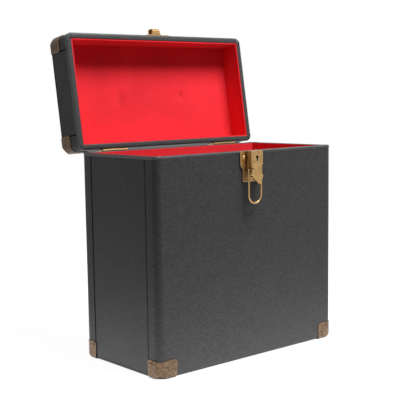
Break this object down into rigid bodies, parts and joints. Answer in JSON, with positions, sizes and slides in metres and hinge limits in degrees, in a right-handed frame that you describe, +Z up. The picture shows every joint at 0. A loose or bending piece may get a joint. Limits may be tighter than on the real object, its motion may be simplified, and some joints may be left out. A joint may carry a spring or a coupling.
{
  "type": "record carrying case",
  "caption": "Upright carrying case for records with a felt-lined body, a hinged lid, a draw latch with a wire bail, metal corner caps and a swinging handle.",
  "frame": {"origin": "on the surface that the case stands on, under the middle of the open case's box", "axes": "+X along the width of the case to the right as seen from the latch, +Y from the latch side towards the hinges, +Z up"},
  "size_m": [0.3494, 0.2704, 0.4843],
  "materials": {
    "board": "raw birch ply",
    "leatherette": "fine grained, satin black",
    "rim": "thin leatherette, worn grey",
    "felt": "red flocked felt",
    "antique_brass": "antiqued, dull",
    "brass": "satin with a clear lacquer",
    "steel": "plain"
  },
  "bodies": {
    "case_body": {"body_front_board": "board", "body_back_board": "board", "body_left_board": "board", "body_right_board": "board", "body_bottom_board": "board", "body_front_wrap": "leatherette", "body_back_wrap": "leatherette", "body_left_cover": "leatherette", "body_right_cover": "leatherette", "body_bottom_cover": "leatherette", "body_rim_binding": "rim", "body_front_lining": "felt", "body_back_lining": "felt", "body_left_lining": "felt", "body_right_lining": "felt", "body_bottom_lining": "felt", "body_cap_front_left": "antique_brass", "body_cap_front_right": "antique_brass", "body_cap_back_left": "antique_brass", "body_cap_back_right": "antique_brass", "body_cap_nails": "antique_brass", "hinge_body_leaf_left": "brass", "hinge_body_leaf_right": "brass", "hinge_pins": "steel", "body_rivets": "brass", "latch_plate": "brass", "latch_pivots": "brass"},
    "lid": {"lid_front_board": "board", "lid_back_board": "board", "lid_left_board": "board", "lid_right_board": "board", "lid_top_board": "board", "lid_front_wrap": "leatherette", "lid_back_wrap": "leatherette", "lid_left_cover": "leatherette", "lid_right_cover": "leatherette", "lid_top_cover": "leatherette", "lid_rim_binding": "rim", "lid_front_lining": "felt", "lid_back_lining": "felt", "lid_left_lining": "felt", "lid_right_lining": "felt", "lid_top_lining": "felt", "lid_cap_front_left": "antique_brass", "lid_cap_front_right": "antique_brass", "lid_cap_back_left": "antique_brass", "lid_cap_back_right": "antique_brass", "lid_cap_nails": "antique_brass", "hinge_lid_leaf_left": "brass", "hinge_lid_leaf_right": "brass", "lid_rivets": "brass", "lid_catch": "brass", "handle_bracket_left": "brass", "handle_bracket_right": "brass", "handle_pins": "steel"},
    "latch_lever": {"latch_lever": "brass"},
    "latch_bail": {"latch_bail": "brass"},
    "lock_plug": {"lock_plug": "steel"},
    "handle": {"handle_grip": "leatherette"}
  },
  "joints": [
    {"name": "lid_hinge", "type": "hinge", "parent": "case_body", "child": "lid", "pos_m": [0, 0.0577, 0.3014], "axis": [1, 0, 0], "range_deg": [0, 99]},
    {"name": "latch_lever_pivot", "type": "hinge", "parent": "case_body", "child": "latch_lever", "pos_m": [0, -0.1237, 0.2964], "axis": [-1, 0, 0], "range_deg": [0, 90]},
    {"name": "bail_pivot", "type": "hinge", "parent": "latch_lever", "child": "latch_bail", "pos_m": [0, -0.1247, 0.2745], "axis": [-1, 0, 0], "range_deg": [-7, 120]},
    {"name": "lock_turn", "type": "hinge", "parent": "latch_lever", "child": "lock_plug", "pos_m": [0, -0.1217, 0.2911], "axis": [0, 1, 0], "range_deg": [0, 90]},
    {"name": "handle_pivot", "type": "hinge", "parent": "lid", "child": "handle", "pos_m": [0, 0.12823, 0.37973], "axis": [1, 0, 0], "range_deg": [-9, 171]}
  ]
}
